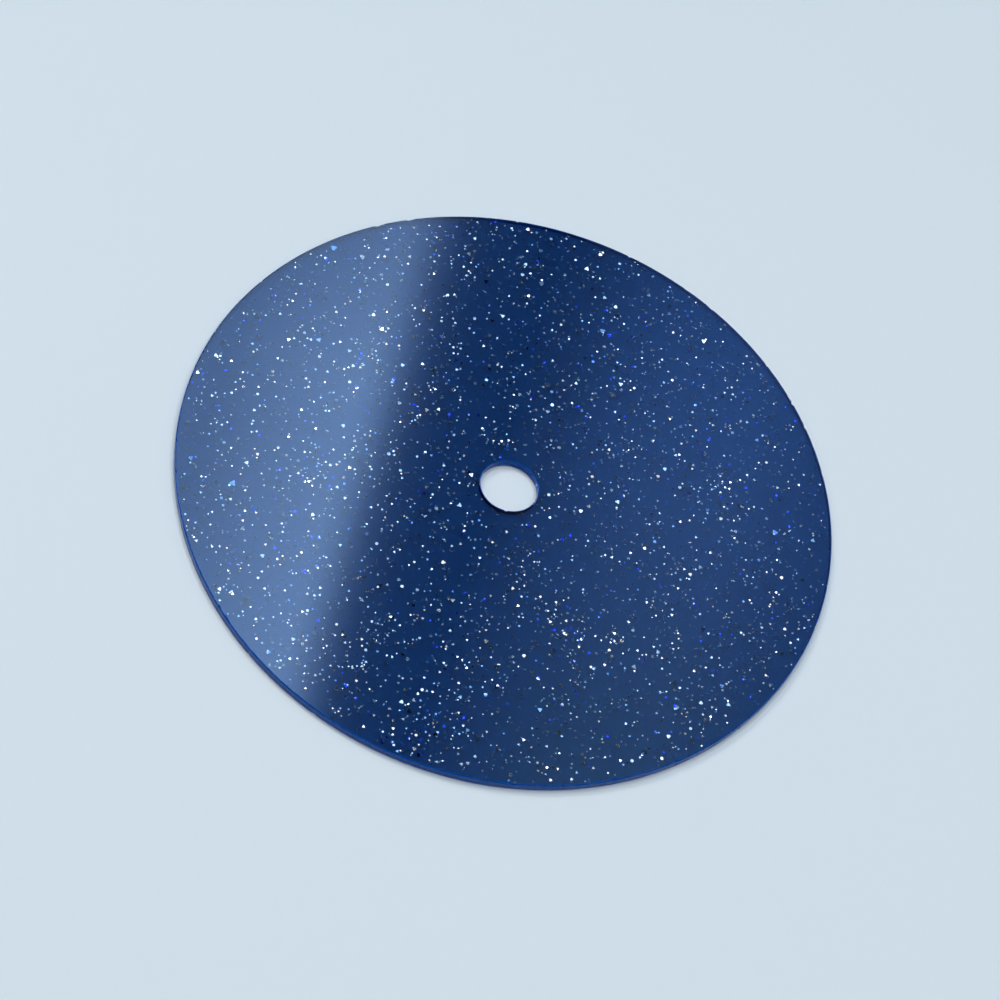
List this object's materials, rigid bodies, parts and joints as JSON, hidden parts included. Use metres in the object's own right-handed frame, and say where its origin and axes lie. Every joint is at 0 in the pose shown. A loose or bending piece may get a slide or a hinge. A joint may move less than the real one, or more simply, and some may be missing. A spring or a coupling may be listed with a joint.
{
  "type": "watch dial",
  "caption": "Plain round watch dial cut from one thin polished slice of dark blue aventurine glass full of bright metal crystals, with a round centre bore for the hands.",
  "frame": {"origin": "centre of the back face, on the axis of the bore", "axes": "+Z along the bore, out of the front face, towards the hands; +X and +Y lie in the dial, which has no top of its own"},
  "size_m": [0.0285, 0.0284, 0.0004],
  "materials": {
    "aventurine_glass": "polished faces, ground rim and bore",
    "metal_crystal": "bright flat crystal faces"
  },
  "bodies": {
    "root": {"glass_slice": "aventurine_glass", "large_crystals": "metal_crystal", "medium_crystals": "metal_crystal", "small_crystals": "metal_crystal"}
  },
  "joints": []
}
